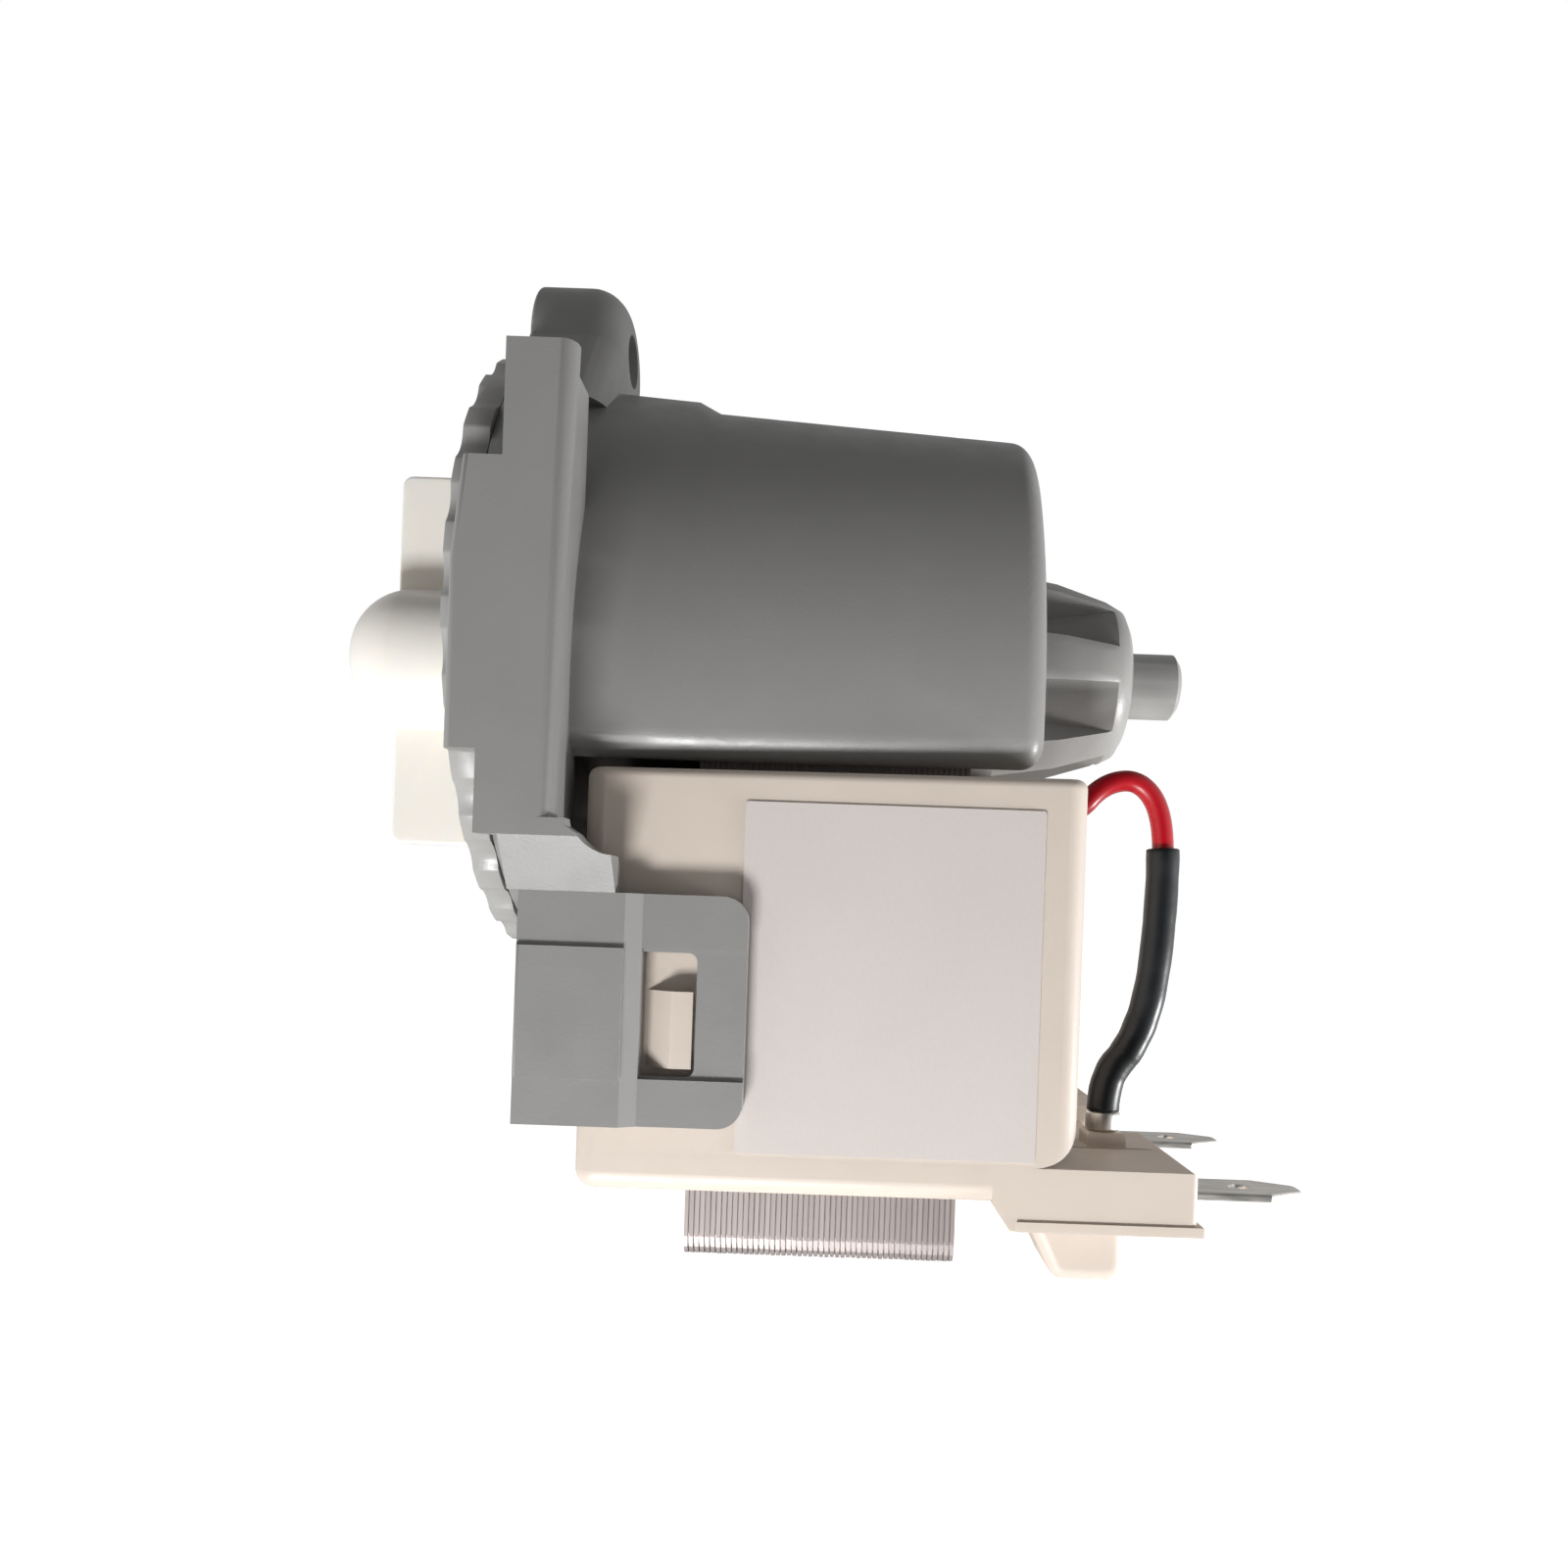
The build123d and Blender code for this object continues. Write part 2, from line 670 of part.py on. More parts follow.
def bearing(start, end):
    return tube(BUSH_RADIUS, SHAFT_RADIUS + BUSH_CLEARANCE, start, end)


def cushion(start, end):
    return tube(SEAT_RADIUS, BUSH_RADIUS, start, end)


def shaft_seal():
    """Lip seal in front of the front bearing."""
    return turned(
        [
            (0.3, SHAFT_RADIUS + 0.6),
            (0.3, SEAT_RADIUS),
            (3.0, SEAT_RADIUS),
            (3.0, SHAFT_RADIUS + 1.2),
            (1.6, SHAFT_RADIUS + 1.2),
            (0.9, SHAFT_RADIUS + BUSH_CLEARANCE),
            (0.6, SHAFT_RADIUS + BUSH_CLEARANCE),
        ]
    )


def rotor_shaft():
    shaft = rod(SHAFT_RADIUS, SHAFT_FRONT, SHAFT_BACK)
    ends = shaft.edges().filter_by(GeomType.CIRCLE)
    return chamfer(ends, 0.4)


def rotor_magnet():
    return tube(MAGNET_RADIUS, MAGNET_BORE, MAGNET_START, MAGNET_END)


def magnet_carrier():
    front_boss = FRONT_BUSH_END + WASHER_GAP + WASHER_THICK
    back_boss = REAR_BUSH_START - WASHER_GAP - WASHER_THICK
    return turned(
        [
            (front_boss, SHAFT_RADIUS),
            (front_boss, CARRIER_BOSS_RADIUS),
            (MAGNET_START - CARRIER_CAP - 2.0, CARRIER_BOSS_RADIUS),
            (MAGNET_START - CARRIER_CAP, CARRIER_CAP_RADIUS),
            (MAGNET_START, CARRIER_CAP_RADIUS),
            (MAGNET_START, MAGNET_BORE),
            (MAGNET_END, MAGNET_BORE),
            (MAGNET_END, CARRIER_CAP_RADIUS),
            (MAGNET_END + CARRIER_CAP, CARRIER_CAP_RADIUS),
            (MAGNET_END + CARRIER_CAP, CARRIER_BOSS_RADIUS),
            (back_boss, CARRIER_BOSS_RADIUS),
            (back_boss, SHAFT_RADIUS),
        ]
    )


def thrust_washer(start):
    return tube(CARRIER_BOSS_RADIUS, SHAFT_RADIUS, start, start + WASHER_THICK)


def coupling_driver():
    """Lobe on the shaft that carries the impeller round after its free play."""
    start = CAVITY_FRONT + DRIVER_END_GAP
    end = HUB_BACK - CAP_THICK - DRIVER_END_GAP
    driver = rod(DOG_HUB_RADIUS, start, end)
    driver += sector(DOG_HUB_RADIUS - 0.6, DOG_RADIUS, 0, DOG_HALF_ANGLE, start, end)
    return driver - rod(SHAFT_RADIUS, start - 1, end + 1)


def impeller():
    """Two vanes on a hub with a round nose; the hub is hollow for the driver."""
    cavity_back = HUB_BACK - CAP_THICK
    nose = revolve(
        Plane.XZ
        * make_face(
            [
                Line((NOSE_TIP, 0), (NOSE_TIP, 1.0)),
                ThreePointArc((NOSE_TIP, 1.0), NOSE_MIDDLE, (NOSE_END, HUB_RADIUS)),
                Line((NOSE_END, HUB_RADIUS), (HUB_BACK, HUB_RADIUS)),
                Line((HUB_BACK, HUB_RADIUS), (HUB_BACK, 0)),
                Line((HUB_BACK, 0), (NOSE_TIP, 0)),
            ]
        ),
        axis=Axis.X,
    )
    vanes = block(
        VANE_FRONT, VANE_BACK, -VANE_THICK / 2, VANE_THICK / 2, -IMPELLER_RADIUS, IMPELLER_RADIUS
    )
    vanes = fillet(vanes.edges().filter_by(Axis.Y), 1.2)
    vanes = fillet(vanes.faces().filter_by(Axis.Y).edges(), 0.4)
    body = nose + vanes
    body -= rod(CAVITY_RADIUS, CAVITY_FRONT, HUB_BACK + 1)
    body -= rod(SHAFT_RADIUS + BUSH_CLEARANCE, SHAFT_FRONT - 0.6, CAVITY_FRONT + 1)
    body += sector(
        DOG_HUB_RADIUS + 0.3, CAVITY_RADIUS + 0.4, 180, DOG_HALF_ANGLE, CAVITY_FRONT - 0.2, cavity_back
    )
    return body


def impeller_cap():
    return tube(CAVITY_RADIUS, SHAFT_RADIUS + BUSH_CLEARANCE, HUB_BACK - CAP_THICK, HUB_BACK)


def impeller_dampers():
    """Rubber pads on both faces of the impeller's inner stop."""
    offset = DOG_HALF_ANGLE + DAMPER_ANGLE / 2
    pads = []
    for angle in (180 - offset, 180 + offset):
        pads.append(
            sector(
                DOG_HUB_RADIUS + 0.4,
                CAVITY_RADIUS - 0.1,
                angle,
                DAMPER_ANGLE / 2,
                CAVITY_FRONT + 0.4,
                HUB_BACK - CAP_THICK - 0.4,
            )
        )
    return Compound(children=pads)


def stator_core():
    """U-shaped stack with a round cut at each pole for the rotor chamber."""
    outer = CORE_HALF_WIDTH
    corner = YOKE_CORNER
    top_y = math.sqrt(outer**2 - (POLE_TOP - POLE_SHOULDER_Z) ** 2)
    mid_angle = math.radians(16)
    mid = (outer * math.cos(mid_angle), POLE_SHOULDER_Z + outer * math.sin(mid_angle))
    bend = corner * (1 - math.sqrt(0.5))
    half = [
        Line((0, YOKE_BOTTOM), (outer - corner, YOKE_BOTTOM)),
        ThreePointArc(
            (outer - corner, YOKE_BOTTOM),
            (outer - bend, YOKE_BOTTOM + bend),
            (outer, YOKE_BOTTOM + corner),
        ),
        Line((outer, YOKE_BOTTOM + corner), (outer, POLE_SHOULDER_Z)),
        ThreePointArc((outer, POLE_SHOULDER_Z), mid, (top_y, POLE_TOP)),
        Line((top_y, POLE_TOP), (LEG_INNER_Y, POLE_TOP)),
        Line((LEG_INNER_Y, POLE_TOP), (LEG_INNER_Y, YOKE_TOP)),
        Line((LEG_INNER_Y, YOKE_TOP), (0, YOKE_TOP)),
        Line((0, YOKE_TOP), (0, YOKE_BOTTOM)),
    ]
    leg = extrude(on_side(CORE_START, make_face(half)), amount=CORE_END - CORE_START)
    core = both_sides(leg)
    return core - rod(POLE_RADIUS, CORE_START - 1, CORE_END + 1)


def leg_box(grow, z0, z1):
    """A block round the near leg of the core, grown on its four sides."""
    return block(
        CORE_START - grow,
        CORE_END + grow,
        -CORE_HALF_WIDTH - grow,
        -LEG_INNER_Y + grow,
        z0,
        z1,
    )


def near_bobbin():
    outside = BOBBIN_GAP + BOBBIN_WALL
    flange = outside + WINDING_THICK + 0.1
    spool = leg_box(outside, YOKE_TOP, BOBBIN_TOP)
    low = leg_box(flange, YOKE_TOP, YOKE_TOP + BOBBIN_WALL)
    high = leg_box(flange, BOBBIN_TOP - BOBBIN_WALL, BOBBIN_TOP)
    flanges = [fillet(part.edges().filter_by(Axis.Z), WINDING_CORNER) for part in (low, high)]
    spool += flanges[0] + flanges[1]
    return spool - leg_box(BOBBIN_GAP, YOKE_TOP - 1, BOBBIN_TOP + 1)


def near_winding():
    """The wound volume, as one solid."""
    outside = BOBBIN_GAP + BOBBIN_WALL
    low = YOKE_TOP + BOBBIN_WALL
    high = BOBBIN_TOP - BOBBIN_WALL
    copper = leg_box(outside + WINDING_THICK, low, high)
    copper = fillet(copper.edges().filter_by(Axis.Z), WINDING_CORNER)
    return copper - leg_box(outside, low - 1, high + 1)


def latch_nub():
    """Catch that springs into the arm's window as the coil block is pushed on from behind."""
    outline = [
        (NUB_FRONT, -COVER_HALF_WIDTH),
        (NUB_CREST, -COVER_HALF_WIDTH - NUB_HEIGHT),
        (NUB_BACK, -COVER_HALF_WIDTH - NUB_HEIGHT),
        (NUB_BACK, -COVER_HALF_WIDTH + 0.4),
        (NUB_FRONT, -COVER_HALF_WIDTH + 0.4),
    ]
    return prism_z(outline, NUB_BOTTOM, NUB_TOP)


def rear_corner_waste():
    """What is cut off to round the cover's low rear corner."""
    centre_x = COVER_BACK - COVER_CORNER
    centre_z = COVER_SEAM + COVER_CORNER
    reach = COVER_HALF_WIDTH + 1
    waste = block(centre_x, COVER_BACK + 1, -reach, reach, COVER_SEAM - 1, centre_z)
    kept = Pos(centre_x, 0, centre_z) * Rot(90, 0, 0) * Cylinder(COVER_CORNER, 2 * reach + 2)
    return waste - kept


def coil_cover():
    """Cream box over both coils, open at the bottom, with the stack's legs through its top."""
    width = COVER_HALF_WIDTH
    side = [
        (COVER_FRONT, COVER_SEAM),
        (COVER_BACK, COVER_SEAM),
        (COVER_BACK, COVER_BACK_TOP),
        (COVER_FRONT, COVER_FRONT_TOP),
    ]
    shell = prism_y(side, -width, width)
    shell = fillet(shell.edges().filter_by(Axis.Z), COVER_EDGE)
    shell = fillet(shell.faces().sort_by(Axis.Z)[-1].edges(), COVER_TOP_EDGE)
    shell -= rear_corner_waste()
    inside_back = COVER_BACK - COVER_BACK_WALL
    inside = block(
        COVER_FRONT + COVER_WALL,
        inside_back,
        -width + COVER_WALL,
        width - COVER_WALL,
        COVER_SEAM,
        COVER_FRONT_TOP - COVER_TOP_WALL,
    )
    inside_low = inside.edges().filter_by(Axis.Y).sort_by(Axis.Z)[:2].sort_by(Axis.X)[-1]
    inside = fillet(inside_low, COVER_CORNER + 0.5)
    shell -= inside
    shell -= both_sides(leg_box(LEG_HOLE_GAP, COVER_FRONT_TOP - 5, COVER_BACK_TOP + 1))
    shell += both_sides(latch_nub())
    lead_hole = Rot(0, 90, 0) * Cylinder(LEAD_RADIUS + LEAD_HOLE_GAP, 8)
    return shell - Pos(COVER_BACK, LEAD_Y, LEAD_EXIT_Z) * lead_hole


def terminal_block():
    """Near terminal block with its lip and foot."""
    outline = [
        (BLOCK_END, BLOCK_TOP),
        (BLOCK_END, BLOCK_BOTTOM),
        (BLOCK_START, BLOCK_BOTTOM),
        (BLOCK_SLOPE_START, BASE_BOTTOM),
        (BLOCK_SLOPE_START, BLOCK_TOP),
    ]
    outer = -COVER_HALF_WIDTH
    body = prism_y(outline, outer, -BLOCK_INNER_Y)
    back_edges = body.faces().sort_by(Axis.X)[-1].edges()
    body = fillet(back_edges, BLOCK_EDGE)
    lip_back = BLOCK_END + 0.5
    lip = block(
        BLOCK_START + 0.6, lip_back, outer - LIP_PROUD, -BLOCK_INNER_Y, BLOCK_BOTTOM, LIP_TOP
    )
    foot_outline = [
        (FOOT_START, BLOCK_BOTTOM),
        (FOOT_START + FOOT_SLOPE, FOOT_BOTTOM),
        (FOOT_END, FOOT_BOTTOM),
        (FOOT_END, BLOCK_BOTTOM),
    ]
    foot = prism_y(foot_outline, -FOOT_OUTER_Y, -FOOT_INNER_Y)
    foot = fillet(foot.edges().filter_by(Axis.Y).group_by(Axis.Z)[0], FOOT_CORNER)
    foot_sides = foot.faces().filter_by(Axis.Y)
    foot_rims = foot_sides.edges().filter_by(lambda edge: edge.center().Z < BLOCK_BOTTOM - 0.1)
    foot = fillet(foot_rims, FOOT_EDGE)
    groove_start = BLOCK_START + 2.5
    groove = block(
        groove_start, lip_back + 1, -TAB_Y - 4.4, -TAB_Y - 3.7, BLOCK_TOP - 0.6, BLOCK_TOP + 1
    )
    return body + lip + foot - groove


def lead_pedestal():
    """Raised seat on the near block where the lead's crimp stands."""
    half = PEDESTAL_HALF
    seat = block(
        CRIMP_X - half, CRIMP_X + half, LEAD_Y - half, LEAD_Y + half, BLOCK_TOP - 1, PEDESTAL_TOP
    )
    return fillet(seat.faces().sort_by(Axis.Z)[-1].edges(), PEDESTAL_EDGE)


def spade(side):
    """One spade terminal; side is -1 for the near one and 1 for the far one."""
    half = TAB_WIDTH / 2
    outline = [
        (TAB_START, -half),
        (TAB_TIP - TAB_TAPER, -half),
        (TAB_TIP, -half + TAB_TIP_NARROWING),
        (TAB_TIP, half - TAB_TIP_NARROWING),
        (TAB_TIP - TAB_TAPER, half),
        (TAB_START, half),
    ]
    low = TAB_Z - TAB_THICK / 2
    tab = prism_z(outline, low, low + TAB_THICK)
    hole = Pos(TAB_TIP - TAB_HOLE_FROM_TIP, 0, TAB_Z) * Cylinder(TAB_HOLE_RADIUS, 4)
    return Pos(0, side * TAB_Y, 0) * (tab - hole)


def coil_base():
    """Rim under the cover, plinth under the coils, terminal blocks and their bridge."""
    width = COVER_HALF_WIDTH
    base = block(COVER_FRONT, COVER_BACK, -width, width, BASE_BOTTOM, COVER_SEAM)
    base = fillet(base.edges().filter_by(Axis.Z).group_by(Axis.X)[0], COVER_EDGE)
    rim = base.faces().sort_by(Axis.Z)[0].edges()
    base = fillet(rim.filter_by(lambda edge: edge.center().X < COVER_BACK - 0.1), BASE_CORNER)
    plinth = width - COVER_WALL - 0.2
    base += block(PLINTH_START, PLINTH_END, -plinth, plinth, BASE_BOTTOM, YOKE_TOP)
    core = CORE_HALF_WIDTH + CORE_GAP
    base -= block(
        CORE_START - CORE_GAP, CORE_END + CORE_GAP, -core, core, YOKE_BOTTOM, YOKE_TOP + 1
    )
    base += both_sides(terminal_block())
    bridge = BLOCK_INNER_Y + 0.5
    base += block(BLOCK_START, BRIDGE_END, -bridge, bridge, BASE_BOTTOM, BRIDGE_TOP)
    base += lead_pedestal()
    base -= spade(-1)
    base -= spade(1)
    return base


def thermal_protector():
    body = block(
        PROTECTOR_START,
        PROTECTOR_END,
        -PROTECTOR_HALF_WIDTH,
        PROTECTOR_HALF_WIDTH,
        PROTECTOR_BOTTOM,
        PROTECTOR_TOP,
    )
    return fillet(body.edges().filter_by(Axis.X), 1.2)


def bend_radii(points):
    """The largest arc that each corner's two runs allow."""
    radii = []
    for before, corner, after in zip(points, points[1:], points[2:]):
        run_in = corner - before
        run_out = after - corner
        half_turn = math.radians(run_in.get_angle(run_out)) / 2
        radii.append(0.45 * min(run_in.length, run_out.length) / math.tan(half_turn))
    return radii


def swept_round(radius, points, radii):
    """A round tube along straight runs joined by tangent arcs."""
    path = FilletPolyline(*points, radius=radii)
    start = Plane(origin=points[0], z_dir=points[1] - points[0])
    body = sweep(start * Circle(radius), path=path)
    share = body.volume / (math.pi * radius**2 * path.length)
    print("tube length", round(path.length, 2), "volume share", round(share, 4))
    return body


def lead_points():
    return [Vector(x, LEAD_Y, z) for x, z in LEAD_ROUTE]


def protector_lead():
    points = lead_points()
    radii = bend_radii(points)
    print("lead bend radii", [round(radius, 1) for radius in radii])
    return swept_round(LEAD_RADIUS, points, radii)


def lead_sleeve():
    """Black sleeve over the lower part of the lead, down to the crimp."""
    points = lead_points()
    radii = bend_radii(points)[SLEEVE_FIRST_RUN:]
    first = (points[SLEEVE_FIRST_RUN] + points[SLEEVE_FIRST_RUN + 1]) / 2
    points = [first] + points[SLEEVE_FIRST_RUN + 1 :]
    return swept_round(SLEEVE_RADIUS, points, radii) - swept_round(SLEEVE_BORE, points, radii)


def blank_label():
    outer = -COVER_HALF_WIDTH
    label = block(LABEL_FRONT, LABEL_BACK, outer - LABEL_THICK, outer, LABEL_BOTTOM, LABEL_TOP)
    return fillet(label.edges().filter_by(Axis.Y), LABEL_CORNER)


def lead_crimp():
    height = CRIMP_TOP - PEDESTAL_TOP
    crimp = Pos(CRIMP_X, LEAD_Y, PEDESTAL_TOP + height / 2) * Cylinder(CRIMP_RADIUS, height)
    return chamfer(crimp.edges().filter_by(GeomType.CIRCLE), 0.3)


def save(name, part):
    part.label = name
    export_step(part, f"parts/{name}.step")


os.makedirs("parts", exist_ok=True)

front_washer_start = FRONT_BUSH_END + WASHER_GAP
rear_washer_start = REAR_BUSH_START - WASHER_GAP - WASHER_THICK

parts = {
    "front_plate": front_plate(),
    "sealing_ring": sealing_ring(),
    "motor_housing": motor_housing(),
    "rotor_chamber": rotor_chamber(),
    "chamber_seal": chamber_seal(),
    "shaft_seal": shaft_seal(),
    "front_bearing": bearing(FRONT_BUSH_START, FRONT_BUSH_END),
    "front_bearing_cushion": cushion(3.0, SPIGOT_END),
    "rear_bearing": bearing(REAR_BUSH_START, REAR_BUSH_END),
    "rear_bearing_cushion": cushion(REAR_BUSH_START, CUP_FLOOR),
    "stator_core": stator_core(),
    "near_bobbin": near_bobbin(),
    "far_bobbin": far_side(near_bobbin()),
    "near_winding": near_winding(),
    "far_winding": far_side(near_winding()),
    "coil_cover": coil_cover(),
    "coil_base": coil_base(),
    "near_terminal": spade(-1),
    "far_terminal": spade(1),
    "thermal_protector": thermal_protector(),
    "protector_lead": protector_lead(),
    "lead_sleeve": lead_sleeve(),
    "lead_crimp": lead_crimp(),
    "blank_label": blank_label(),
    "rotor_shaft": rotor_shaft(),
    "rotor_magnet": rotor_magnet(),
    "magnet_carrier": magnet_carrier(),
    "front_thrust_washer": thrust_washer(front_washer_start),
    "rear_thrust_washer": thrust_washer(rear_washer_start),
    "coupling_driver": coupling_driver(),
    "impeller": impeller(),
    "impeller_cap": impeller_cap(),
    "impeller_dampers": impeller_dampers(),
}
for part_name, part_solid in parts.items():
    save(part_name, part_solid)
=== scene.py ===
import json
import math
import random

import bmesh
import bpy
from mathutils import Matrix, Vector


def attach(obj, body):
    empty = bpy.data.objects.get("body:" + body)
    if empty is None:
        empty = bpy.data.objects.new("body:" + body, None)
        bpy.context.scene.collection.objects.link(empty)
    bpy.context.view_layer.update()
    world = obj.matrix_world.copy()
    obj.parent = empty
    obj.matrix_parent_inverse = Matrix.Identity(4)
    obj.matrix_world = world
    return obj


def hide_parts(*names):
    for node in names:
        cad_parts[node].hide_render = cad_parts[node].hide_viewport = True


# Dishwasher drain pump. Metres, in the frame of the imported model: +X along the
# rotor axis from the impeller to the terminals, +Z up, the camera on the -Y side.

# Camera, fitted to the photograph
PHOTO_PX = 1600
FOCAL_PX = 1150
PRINCIPAL_PX = (855, 930)
CAMERA_AT = (0.0344, -0.126, -0.02624)
CAMERA_ROLL_DEG = 2.0
SENSOR_MM = 36.0

# Floor
FLOOR_Z = -0.0594
FLOOR_HALF = 4.0
FLOOR_GLOW = 0.78

# Key light, low in front of the pump and close to it
KEY_TARGET = (0.033, 0.0, -0.020)
KEY_DISTANCE = 0.30
KEY_BELOW_DEG = 46
KEY_LEFT_DEG = 16
KEY_SIZE = (0.09, 0.06)
KEY_WATTS = 0.97

# Side light, low on the right, for the rotor chamber's back end and the terminals
SIDE_TARGET = (0.060, 0.0, -0.005)
SIDE_DISTANCE = 0.30
SIDE_BELOW_DEG = 24
SIDE_LEFT_DEG = -80
SIDE_SIZE = (0.05, 0.05)
SIDE_WATTS = 0.9

# Light from all round: weak from the front and above, stronger from behind and the sides
SKY_FRONT = 0.04
SKY_BACK = 0.34
SKY_LEFT = 1.10
SKY_RIGHT = 1.00
SKY_BELOW = 0.10

# Lead of the thermal protector, as (x, z) points of the solid model's route
LEAD_Y = -0.014
LEAD_ROUTE = [
    (0.0548, -0.0160),
    (0.0576, -0.0160),
    (0.0602, -0.0127),
    (0.0638, -0.0120),
    (0.0663, -0.0152),
    (0.0666, -0.0224),
    (0.0659, -0.0330),
    (0.0641, -0.0386),
    (0.0614, -0.0418),
    (0.0614, -0.0450),
]
LEAD_RADIUS = 0.00105
LEAD_STEPS = 16
LEAD_ROUNDNESS = 6

# Sleeve over the lower part of the lead
SLEEVE_SEED = 11
SLEEVE_RADIUS = 0.0016
SLEEVE_START_Z = -0.0188
SLEEVE_SIDES = 28
RIPPLE_WAVE = 0.012
RIPPLE_TURN = 0.7
RIPPLE_CHANCE = 0.006
LIP_REACH = 0.0001
LIP_INNER_SHARE = 1.04
LIP_OUTER_SHARE = 0.86

# Stator sheets
CORE_SEED = 5
SHEETS = 50
SHEET_PITCH = 0.00051
SHEET_THICK = 0.00037
SHEET_SPREAD = 0.00004
CORE_START = 0.0210
CORE_HALF_WIDTH = 0.0204
LEG_INNER = 0.0094
POLE_RADIUS = 0.0140
POLE_TOP = 0.0145
SHOULDER_Z = 0.0
YOKE_TOP = -0.0464
YOKE_BOTTOM = -0.0592
YOKE_CORNER = 0.0020
FILL_INSET = 0.00022
CORNER_STEPS = 6
SHOULDER_STEPS = 8
POLE_STEPS = 20

# Rounding of sharp edges; pieces that meet in a hairline seam get none
EDGE_ROUND = 0.0003
EDGE_SEGMENTS = 2
EDGE_FROM_DEG = 35
WELD_DISTANCE = 0.000002
SEAM_NODES = ("coil_base", "blank_label", "coil_cover")

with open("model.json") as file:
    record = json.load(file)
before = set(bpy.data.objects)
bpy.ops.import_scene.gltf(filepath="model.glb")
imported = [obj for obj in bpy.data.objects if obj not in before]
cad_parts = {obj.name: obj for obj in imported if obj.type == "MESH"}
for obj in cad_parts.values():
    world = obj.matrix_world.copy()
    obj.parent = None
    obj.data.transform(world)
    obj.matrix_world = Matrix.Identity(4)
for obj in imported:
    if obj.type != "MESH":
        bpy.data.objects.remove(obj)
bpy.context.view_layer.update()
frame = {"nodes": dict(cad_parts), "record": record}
cad = frame["nodes"]


# Shader helpers


def new_material(name):
    material = bpy.data.materials.new(name)
    material.use_nodes = True
    tree = material.node_tree
    shader = tree.nodes["Principled BSDF"]
    return material, tree, shader


def coordinates(tree):
    return tree.nodes.new("ShaderNodeTexCoord").outputs["Object"]


def noise(tree, source, scale, detail=4.0, roughness=0.55, stretch=(1, 1, 1)):
    mapping = tree.nodes.new("ShaderNodeMapping")
    mapping.inputs["Scale"].default_value = stretch
    tree.links.new(source, mapping.inputs["Vector"])
    texture = tree.nodes.new("ShaderNodeTexNoise")
    texture.inputs["Scale"].default_value = scale
    texture.inputs["Detail"].default_value = detail
    texture.inputs["Roughness"].default_value = roughness
    tree.links.new(mapping.outputs["Vector"], texture.inputs["Vector"])
    return texture.outputs["Fac"]


def ramp(tree, value, stops):
    """Colours for a value, from stops of (place, colour)."""
    node = tree.nodes.new("ShaderNodeValToRGB")
    elements = node.color_ramp.elements
    while len(elements) < len(stops):
        elements.new(0.5)
    for element, (place, color) in zip(elements, stops):
        element.position = place
        element.color = (*color, 1)
    tree.links.new(value, node.inputs["Fac"])
    return node.outputs["Color"]


def span(tree, value, low, high, new_low, new_high):
    """The value's range from low to high, mapped to a new range and held at its ends."""
    node = tree.nodes.new("ShaderNodeMapRange")
    node.inputs["From Min"].default_value = low
    node.inputs["From Max"].default_value = high
    node.inputs["To Min"].default_value = new_low
    node.inputs["To Max"].default_value = new_high
    tree.links.new(value, node.inputs["Value"])
    return node.outputs["Result"]


def sum_of(tree, first, second):
    node = tree.nodes.new("ShaderNodeMath")
    node.operation = "ADD"
    tree.links.new(first, node.inputs[0])
    tree.links.new(second, node.inputs[1])
    return node.outputs["Value"]


def bump(tree, height, strength, distance, below=None):
    """Normal of a rough surface, laid over the normal below it where there is one."""
    node = tree.nodes.new("ShaderNodeBump")
    node.inputs["Strength"].default_value = strength
    node.inputs["Distance"].default_value = distance
    tree.links.new(height, node.inputs["Height"])
    if below is not None:
        tree.links.new(below, node.inputs["Normal"])
    return node.outputs["Normal"]


def shades(color, spread):
    """The same colour, darker and lighter by a share."""
    dark = tuple(channel * (1 - spread) for channel in color)
    light = tuple(min(1.0, channel * (1 + spread)) for channel in color)
    return dark, light


# Materials


def moulded_plastic(name, color, roughness, grain_mm=0.28, grain_depth=0.5, spread=0.07, clear=0.0):
    """Moulded plastic with a fine eroded grain, faint flow clouds and uneven gloss."""
    material, tree, shader = new_material(name)
    place = coordinates(tree)
    clouds = noise(tree, place, scale=70, detail=5.0)
    dark, light = shades(color, spread)
    tint = ramp(tree, clouds, [(0.3, dark), (0.55, color), (0.75, light)])
    tree.links.new(tint, shader.inputs["Base Color"])
    grain = noise(tree, place, scale=1000 / grain_mm, detail=2.0)
    smears = noise(tree, place, scale=260, detail=3.0)
    gloss = span(tree, smears, 0.35, 0.65, roughness - 0.05, roughness + 0.07)
    tree.links.new(gloss, shader.inputs["Roughness"])
    wave = bump(tree, clouds, strength=0.25, distance=0.0002)
    surface = bump(tree, grain, strength=grain_depth, distance=0.00003, below=wave)
    tree.links.new(surface, shader.inputs["Normal"])
    if clear:
        shader.inputs["Subsurface Weight"].default_value = clear
        shader.inputs["Subsurface Radius"].default_value = (0.0022, 0.0018, 0.0012)
        shader.inputs["Subsurface Scale"].default_value = 1.0
    return material


